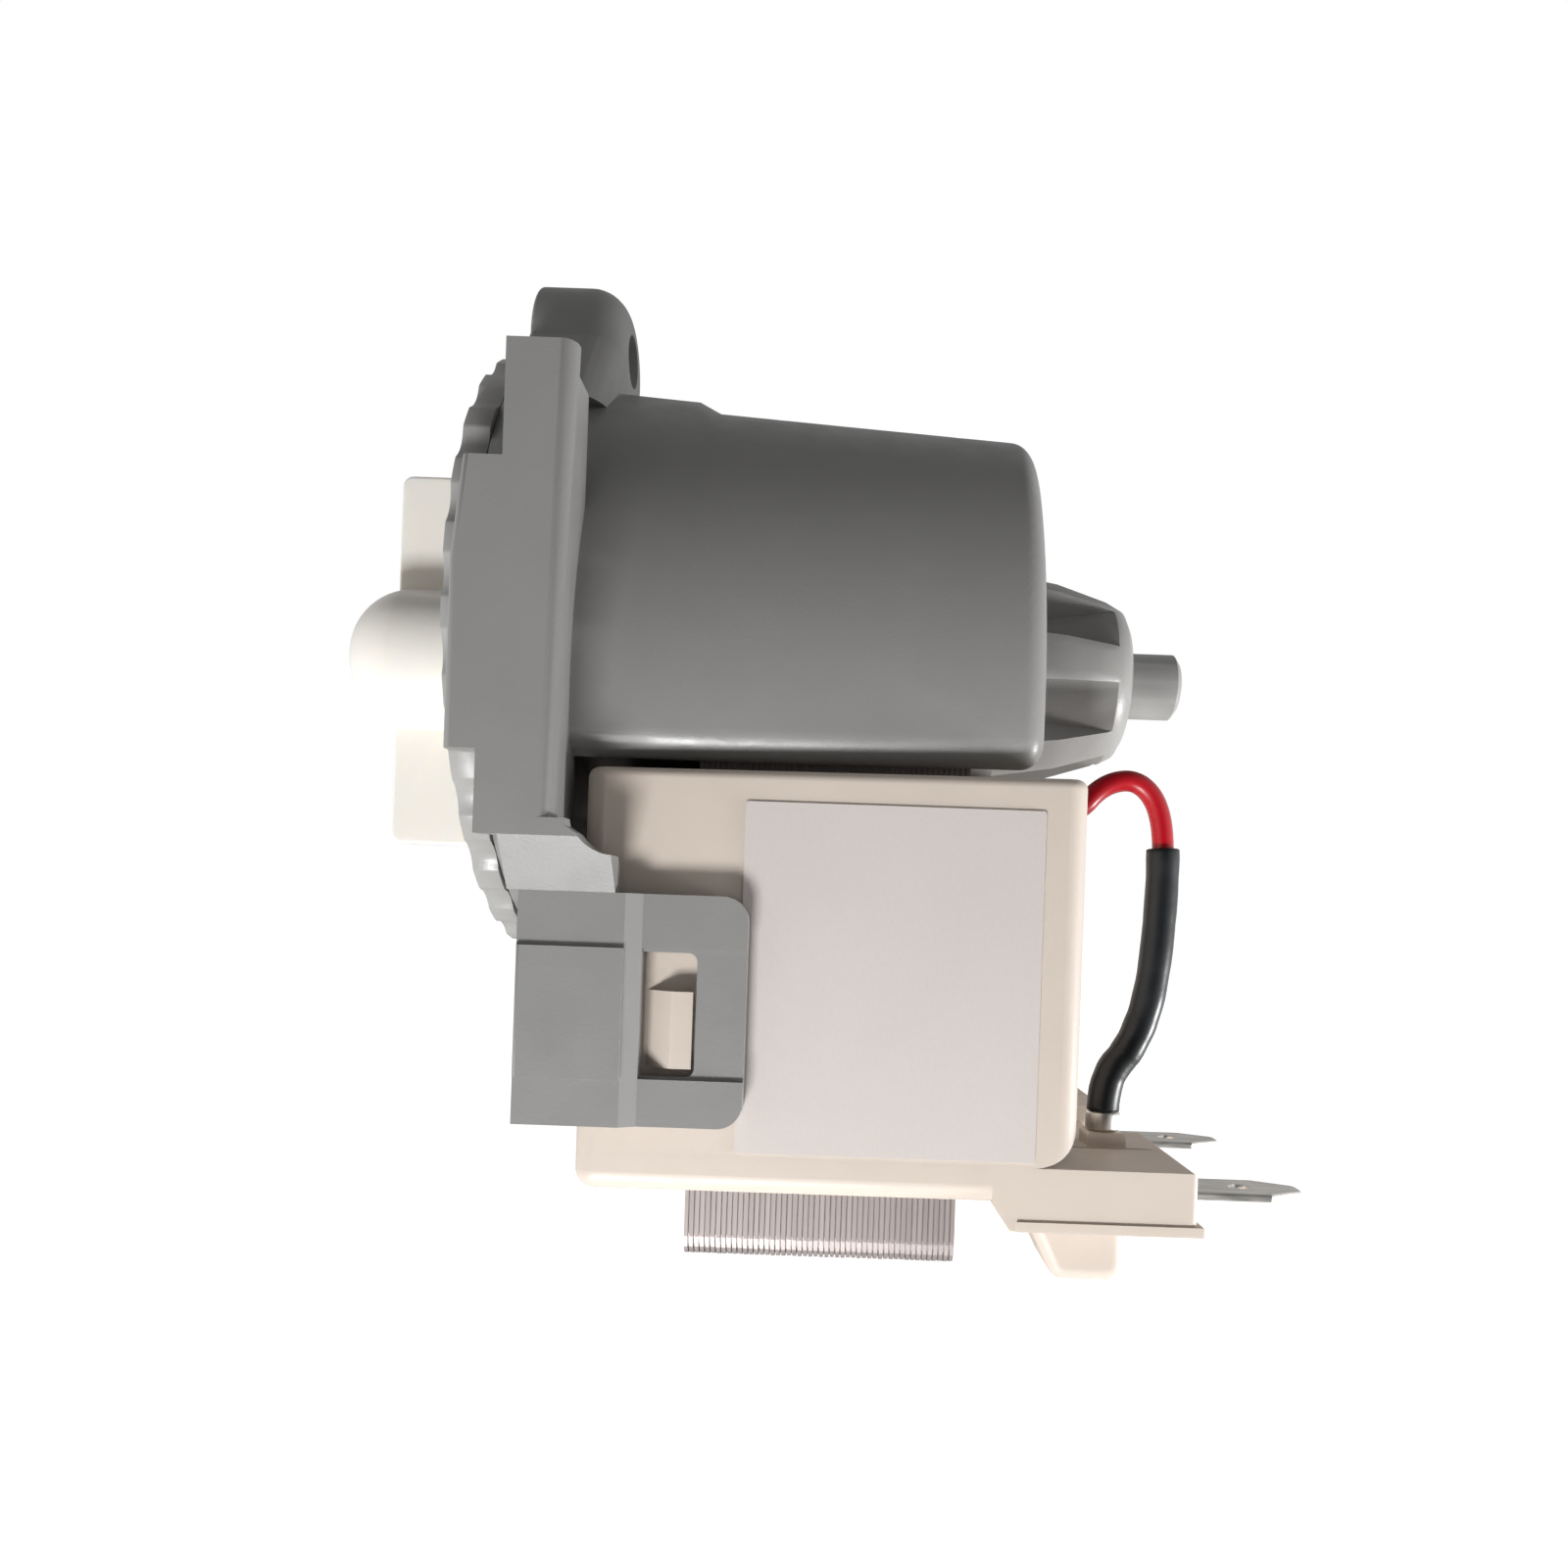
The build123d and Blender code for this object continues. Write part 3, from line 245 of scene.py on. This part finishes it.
def metal(name, color, roughness, stretch, scale):
    """Drawn or ground metal with fine lines along the stretch axis."""
    material, tree, shader = new_material(name)
    place = coordinates(tree)
    lines = noise(tree, place, scale, detail=3.0, roughness=0.6, stretch=stretch)
    dark, light = shades(color, 0.16)
    tint = ramp(tree, lines, [(0.3, dark), (0.5, color), (0.7, light)])
    tree.links.new(tint, shader.inputs["Base Color"])
    shader.inputs["Metallic"].default_value = 1.0
    gloss = span(tree, lines, 0.3, 0.7, roughness - 0.06, roughness + 0.1)
    tree.links.new(gloss, shader.inputs["Roughness"])
    tree.links.new(bump(tree, lines, strength=0.2, distance=0.00002), shader.inputs["Normal"])
    return material


def sheet_number(tree, place):
    """Which sheet of the stack a point is on, counted from the impeller's side."""
    parts = tree.nodes.new("ShaderNodeSeparateXYZ")
    tree.links.new(place, parts.inputs["Vector"])
    count = tree.nodes.new("ShaderNodeMath")
    count.operation = "MULTIPLY_ADD"
    count.inputs[1].default_value = 1 / SHEET_PITCH
    count.inputs[2].default_value = -CORE_START / SHEET_PITCH
    tree.links.new(parts.outputs["X"], count.inputs[0])
    whole = tree.nodes.new("ShaderNodeMath")
    whole.operation = "FLOOR"
    tree.links.new(count.outputs["Value"], whole.inputs[0])
    return whole.outputs["Value"]


def steel_sheets():
    """Cut edges of the stacked sheets; each sheet has its own tone, with fine scratches over all."""
    material, tree, shader = new_material("steel_sheets")
    place = coordinates(tree)
    tone = tree.nodes.new("ShaderNodeTexWhiteNoise")
    tone.noise_dimensions = "1D"
    tree.links.new(sheet_number(tree, place), tone.inputs["W"])
    stops = [(0.0, (0.33, 0.29, 0.28)), (0.5, (0.35, 0.31, 0.3)), (1.0, (0.37, 0.33, 0.32))]
    tree.links.new(ramp(tree, tone.outputs["Value"], stops), shader.inputs["Base Color"])
    shader.inputs["Metallic"].default_value = 0.6
    scratches = noise(tree, place, scale=900, detail=3.0, roughness=0.6, stretch=(4, 1, 0.12))
    gloss = span(tree, scratches, 0.3, 0.7, 0.42, 0.52)
    tree.links.new(gloss, shader.inputs["Roughness"])
    tree.links.new(bump(tree, scratches, strength=0.12, distance=0.00002), shader.inputs["Normal"])
    return material


def copper_winding():
    """Enamelled wire wound round the leg, as fine rings one above the other, with painted shade in
    the grooves between the turns.
    """
    material, tree, shader = new_material("copper_wire")
    place = coordinates(tree)
    rings = tree.nodes.new("ShaderNodeTexWave")
    rings.wave_type = "BANDS"
    rings.bands_direction = "Z"
    rings.inputs["Scale"].default_value = 700
    rings.inputs["Distortion"].default_value = 0.6
    tree.links.new(place, rings.inputs["Vector"])
    height = rings.outputs["Fac"]
    # Painted shade: the colour is darkest where the rings are lowest, in the grooves between the
    # turns of wire.
    tint = ramp(tree, height, [(0.0, (0.16, 0.04, 0.015)), (1.0, (0.72, 0.27, 0.11))])
    tree.links.new(tint, shader.inputs["Base Color"])
    shader.inputs["Metallic"].default_value = 0.9
    shader.inputs["Roughness"].default_value = 0.32
    tree.links.new(bump(tree, height, strength=0.7, distance=0.0001), shader.inputs["Normal"])
    return material


def label_paper():
    """Blank satin label with a faint fibre and a slight unevenness of the glue."""
    material, tree, shader = new_material("label_paper")
    place = coordinates(tree)
    fibre = noise(tree, place, scale=4200, detail=4.0, roughness=0.7, stretch=(1, 1, 0.6))
    glue = noise(tree, place, scale=90, detail=2.0)
    tint = ramp(tree, fibre, [(0.3, (0.56, 0.51, 0.485)), (0.7, (0.585, 0.535, 0.51))])
    tree.links.new(tint, shader.inputs["Base Color"])
    gloss = span(tree, glue, 0.35, 0.65, 0.42, 0.55)
    tree.links.new(gloss, shader.inputs["Roughness"])
    tree.links.new(bump(tree, glue, strength=0.15, distance=0.0002), shader.inputs["Normal"])
    return material


def ferrite():
    """Dark sintered ferrite with fine specks."""
    material, tree, shader = new_material("ferrite")
    place = coordinates(tree)
    specks = noise(tree, place, scale=2600, detail=3.0, roughness=0.7)
    tint = ramp(tree, specks, [(0.4, (0.02, 0.02, 0.022)), (0.7, (0.06, 0.06, 0.065))])
    tree.links.new(tint, shader.inputs["Base Color"])
    shader.inputs["Roughness"].default_value = 0.55
    tree.links.new(bump(tree, specks, strength=0.4, distance=0.00003), shader.inputs["Normal"])
    return material


materials = {
    "housing_grey": moulded_plastic("housing_grey", (0.24, 0.237, 0.231), 0.36, spread=0.03),
    "plate_grey": moulded_plastic("plate_grey", (0.34, 0.335, 0.325), 0.38, spread=0.04),
    "cream_plastic": moulded_plastic(
        "cream_plastic", (0.595, 0.52, 0.455), 0.45, grain_depth=0.3, spread=0.03, clear=0.08
    ),
    "impeller_white": moulded_plastic(
        "impeller_white", (0.9, 0.86, 0.8), 0.36, grain_depth=0.2, spread=0.02, clear=0.35
    ),
    "steel_sheets": steel_sheets(),
    "tinned_brass": metal("tinned_brass", (0.86, 0.83, 0.78), 0.34, (0.15, 1, 1), 1500),
    "copper_wire": copper_winding(),
    "black_rubber": moulded_plastic("black_rubber", (0.02, 0.02, 0.02), 0.6),
    "bearing_ceramic": moulded_plastic("bearing_ceramic", (0.7, 0.68, 0.63), 0.25, spread=0.03),
    "bobbin_plastic": moulded_plastic("bobbin_plastic", (0.05, 0.05, 0.055), 0.45),
    "protector_case": moulded_plastic("protector_case", (0.02, 0.02, 0.02), 0.4),
    "red_insulation": moulded_plastic("red_insulation", (0.42, 0.004, 0.012), 0.3, grain_depth=0.1),
    "black_sleeve": moulded_plastic("black_sleeve", (0.008, 0.01, 0.012), 0.36, grain_depth=0.25),
    "crimp_metal": metal("crimp_metal", (0.72, 0.7, 0.66), 0.4, (1, 1, 0.2), 1500),
    "label_paper": label_paper(),
    "stainless_shaft": metal("stainless_shaft", (0.62, 0.62, 0.62), 0.22, (6, 1, 1), 800),
    "ferrite": ferrite(),
    "washer_plastic": moulded_plastic("washer_plastic", (0.7, 0.69, 0.66), 0.4),
}


# Pieces


def dress(piece, slot_name):
    piece.data.materials.clear()
    piece.data.materials.append(materials[slot_name])


def round_edges(node):
    """Joins the split corners and rounds every sharp edge a little."""
    weld = node.modifiers.new("weld", "WELD")
    weld.merge_threshold = WELD_DISTANCE
    bevel = node.modifiers.new("edge_round", "BEVEL")
    bevel.width = EDGE_ROUND
    bevel.segments = EDGE_SEGMENTS
    bevel.limit_method = "ANGLE"
    bevel.angle_limit = math.radians(EDGE_FROM_DEG)
    bevel.harden_normals = True
    bevel.miter_outer = "MITER_ARC"


def dress_solids():
    """Gives each solid its material and rounds the edges of those that are seen."""
    for part in frame["record"]["subparts"]:
        node = cad[part["node"]]
        dress(node, part["material_slot"])
        if not node.hide_render and part["node"] not in SEAM_NODES:
            round_edges(node)


def add_mesh(name, builder, slot_name, body):
    mesh = bpy.data.meshes.new(name)
    builder.to_mesh(mesh)
    builder.free()
    piece = bpy.data.objects.new(name, mesh)
    bpy.context.scene.collection.objects.link(piece)
    dress(piece, slot_name)
    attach(piece, body)
    return piece


# Lead and sleeve


def lead_curve(name):
    curve = bpy.data.curves.new(name, "CURVE")
    curve.dimensions = "3D"
    spline = curve.splines.new("NURBS")
    spline.points.add(len(LEAD_ROUTE) - 1)
    for point, (x, z) in zip(spline.points, LEAD_ROUTE):
        point.co = (x, LEAD_Y, z, 1)
    spline.order_u = 3
    spline.use_endpoint_u = True
    spline.resolution_u = LEAD_STEPS
    return curve


def line_points():
    """Points along the lead's smooth line, from its first end to its last."""
    curve = lead_curve("lead_line")
    helper = bpy.data.objects.new("lead_line", curve)
    bpy.context.scene.collection.objects.link(helper)
    bpy.context.view_layer.update()
    mesh = bpy.data.meshes.new_from_object(helper)
    points = [vertex.co.copy() for vertex in mesh.vertices]
    bpy.data.objects.remove(helper)
    bpy.data.curves.remove(curve)
    bpy.data.meshes.remove(mesh)
    return points


def make_lead():
    curve = lead_curve("red_lead")
    curve.bevel_depth = LEAD_RADIUS
    curve.bevel_resolution = LEAD_ROUNDNESS
    curve.use_fill_caps = True
    lead = bpy.data.objects.new("red_lead", curve)
    bpy.context.scene.collection.objects.link(lead)
    dress(lead, "red_insulation")
    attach(lead, "stator")
    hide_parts("protector_lead")
    return lead


def ring_of(builder, centre, along, radius):
    """One ring of vertices round a point of the lead, square to its line."""
    across = Vector((0, 1, 0))
    up = along.cross(across).normalized()
    ring = []
    for index in range(SLEEVE_SIDES):
        angle = 2 * math.pi * index / SLEEVE_SIDES
        offset = across * math.cos(angle) + up * math.sin(angle)
        ring.append(builder.verts.new(centre + offset * radius))
    return ring


def bridge(builder, first, second):
    """Smooth faces between two rings with the same number of vertices."""
    sides = len(first)
    for index in range(sides):
        following = (index + 1) % sides
        face = builder.faces.new((first[index], first[following], second[following], second[index]))
        face.smooth = True


def make_sleeve(points):
    """Loose sleeve over the lead, slightly rippled, with a lip at its upper end."""
    rng = random.Random(SLEEVE_SEED)
    run = [point for point in points if point.z < SLEEVE_START_Z]
    builder = bmesh.new()
    rings = []
    for index, centre in enumerate(run):
        after = run[min(index + 1, len(run) - 1)]
        before = run[max(index - 1, 0)]
        along = (after - before).normalized()
        wave = RIPPLE_WAVE * math.sin(index * RIPPLE_TURN)
        ripple = 1 + wave + rng.uniform(-RIPPLE_CHANCE, RIPPLE_CHANCE)
        if index == 0:
            lip = centre - along * LIP_REACH
            rings.append(ring_of(builder, centre, along, LEAD_RADIUS * LIP_INNER_SHARE))
            rings.append(ring_of(builder, lip, along, SLEEVE_RADIUS * LIP_OUTER_SHARE))
        rings.append(ring_of(builder, centre, along, SLEEVE_RADIUS * ripple))
    for first, second in zip(rings, rings[1:]):
        bridge(builder, first, second)
    builder.faces.new(rings[-1])
    bmesh.ops.recalc_face_normals(builder, faces=builder.faces)
    sleeve = add_mesh("lead_sleeve_tube", builder, "black_sleeve", "stator")
    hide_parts("lead_sleeve")
    return sleeve


# Stator sheets


def arc_points(centre_y, centre_z, radius, start_deg, end_deg, steps):
    points = []
    for index in range(steps + 1):
        angle = math.radians(start_deg + (end_deg - start_deg) * index / steps)
        points.append((centre_y + radius * math.cos(angle), centre_z + radius * math.sin(angle)))
    return points


def sheet_outline(inset):
    """Outline of one U-shaped sheet as (y, z) points, drawn smaller by the inset."""
    outer = CORE_HALF_WIDTH - inset
    bottom = YOKE_BOTTOM + inset
    top = POLE_TOP - inset
    inner = LEG_INNER + inset
    pole = POLE_RADIUS + inset
    corner = YOKE_CORNER
    top_angle = math.degrees(math.asin((top - SHOULDER_Z) / outer))
    pole_angle = math.degrees(math.acos(inner / pole))
    half = arc_points(outer - corner, bottom + corner, corner, -90, 0, CORNER_STEPS)
    half += arc_points(0, SHOULDER_Z, outer, 0, top_angle, SHOULDER_STEPS)
    half.append((inner, top))
    half += arc_points(0, 0, pole, pole_angle, -pole_angle, POLE_STEPS)
    half.append((inner, YOKE_TOP - inset))
    mirrored = [(-y, z) for y, z in reversed(half)]
    return half + mirrored


def add_plate(builder, outline, start, end):
    """A closed plate from an outline of (y, z) points, between two places along X."""
    low = [builder.verts.new((start, y, z)) for y, z in outline]
    high = [builder.verts.new((end, y, z)) for y, z in outline]
    builder.faces.new(low)
    builder.faces.new(list(reversed(high)))
    for index in range(len(outline)):
        following = (index + 1) % len(outline)
        builder.faces.new((low[index], high[index], high[following], low[following]))


def make_core():
    """Fifty separate sheets over a slightly smaller filling."""
    rng = random.Random(CORE_SEED)
    builder = bmesh.new()
    for index in range(SHEETS):
        start = CORE_START + index * SHEET_PITCH
        outline = sheet_outline(rng.uniform(0.0, SHEET_SPREAD))
        add_plate(builder, outline, start, start + SHEET_THICK)
    fill_start = CORE_START + SHEET_THICK / 2
    fill_end = CORE_START + (SHEETS - 1) * SHEET_PITCH + SHEET_THICK / 2
    add_plate(builder, sheet_outline(FILL_INSET), fill_start, fill_end)
    bmesh.ops.recalc_face_normals(builder, faces=builder.faces)
    core = add_mesh("sheet_stack", builder, "steel_sheets", "stator")
    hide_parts("stator_core")


# Stage, lights and camera


def make_floor():
    """White floor that glows a little and sends neither light nor shadow to the pump."""
    mesh = bpy.data.meshes.new("floor")
    half = FLOOR_HALF
    corners = [
        (-half, -half, FLOOR_Z),
        (half, -half, FLOOR_Z),
        (half, half, FLOOR_Z),
        (-half, half, FLOOR_Z),
    ]
    mesh.from_pydata(corners, [], [(0, 1, 2, 3)])
    floor = bpy.data.objects.new("floor", mesh)
    bpy.context.scene.collection.objects.link(floor)
    material, tree, shader = new_material("floor_white")
    paper = noise(tree, coordinates(tree), scale=40, detail=4.0)
    tint = ramp(tree, paper, [(0.3, (0.86, 0.86, 0.86)), (0.7, (0.9, 0.9, 0.9))])
    tree.links.new(tint, shader.inputs["Base Color"])
    shader.inputs["Roughness"].default_value = 0.9
    shader.inputs["Specular IOR Level"].default_value = 0.1
    shader.inputs["Emission Color"].default_value = (1, 1, 1, 1)
    shader.inputs["Emission Strength"].default_value = FLOOR_GLOW
    mesh.materials.append(material)
    floor.visible_shadow = False
    floor.visible_diffuse = False
    floor.visible_glossy = False


def sky_strength(tree):
    """Strength of the sky's light by its direction."""
    direction = tree.nodes.new("ShaderNodeTexCoord").outputs["Generated"]
    parts = tree.nodes.new("ShaderNodeSeparateXYZ")
    tree.links.new(direction, parts.inputs["Vector"])
    depth = span(tree, parts.outputs["Y"], -0.2, 0.7, SKY_FRONT, SKY_BACK)
    left = span(tree, parts.outputs["X"], -1.0, -0.35, SKY_LEFT, 0.0)
    right = span(tree, parts.outputs["X"], 0.3, 1.0, 0.0, SKY_RIGHT)
    below = span(tree, parts.outputs["Z"], -0.8, 0.1, SKY_BELOW, 0.0)
    return sum_of(tree, sum_of(tree, depth, below), sum_of(tree, left, right))


def make_world():
    """White to the eye; as light it is weak in front of the pump and stronger all round it."""
    world = bpy.data.worlds.new("studio")
    bpy.context.scene.world = world
    world.use_nodes = True
    tree = world.node_tree
    background = tree.nodes["Background"]
    background.inputs["Color"].default_value = (1, 1, 1, 1)
    seen = tree.nodes.new("ShaderNodeLightPath").outputs["Is Camera Ray"]
    # Inputs 0, 2 and 3 are the choice and the two strengths that it is made from
    pick = tree.nodes.new("ShaderNodeMix")
    pick.data_type = "FLOAT"
    tree.links.new(seen, pick.inputs[0])
    tree.links.new(sky_strength(tree), pick.inputs[2])
    pick.inputs[3].default_value = 1.0
    tree.links.new(pick.outputs[0], background.inputs["Strength"])
    bpy.context.scene.view_settings.view_transform = "Standard"


def make_light(name, target, distance, below_deg, left_deg, size, watts):
    """An area light aimed at a point from below and from the left of the camera's side."""
    data = bpy.data.lights.new(name, "AREA")
    data.shape = "RECTANGLE"
    data.size, data.size_y = size
    data.energy = watts
    light = bpy.data.objects.new(name, data)
    bpy.context.scene.collection.objects.link(light)
    below = math.radians(below_deg)
    left = math.radians(left_deg)
    level = math.cos(below)
    away = Vector((-math.sin(left) * level, -math.cos(left) * level, -math.sin(below)))
    light.location = Vector(target) + away * distance
    light.rotation_euler = (-away).to_track_quat("-Z", "Y").to_euler()
    light.visible_camera = False


def make_camera():
    data = bpy.data.cameras.new("camera")
    data.sensor_fit = "HORIZONTAL"
    data.sensor_width = SENSOR_MM
    data.lens = SENSOR_MM * FOCAL_PX / PHOTO_PX
    data.shift_x = (PHOTO_PX / 2 - PRINCIPAL_PX[0]) / PHOTO_PX
    data.shift_y = (PRINCIPAL_PX[1] - PHOTO_PX / 2) / PHOTO_PX
    data.clip_start = 0.005
    data.clip_end = 50
    camera = bpy.data.objects.new("camera", data)
    bpy.context.scene.collection.objects.link(camera)
    upright = Matrix.Rotation(math.radians(90), 4, "X")
    roll = Matrix.Rotation(math.radians(CAMERA_ROLL_DEG), 4, "Z")
    camera.matrix_world = Matrix.Translation(CAMERA_AT) @ upright @ roll
    bpy.context.scene.camera = camera


make_camera()
lead = make_lead()
sleeve = make_sleeve(line_points())
make_core()
dress_solids()
make_floor()
make_world()
make_light("key", KEY_TARGET, KEY_DISTANCE, KEY_BELOW_DEG, KEY_LEFT_DEG, KEY_SIZE, KEY_WATTS)
make_light("side", SIDE_TARGET, SIDE_DISTANCE, SIDE_BELOW_DEG, SIDE_LEFT_DEG, SIDE_SIZE, SIDE_WATTS)
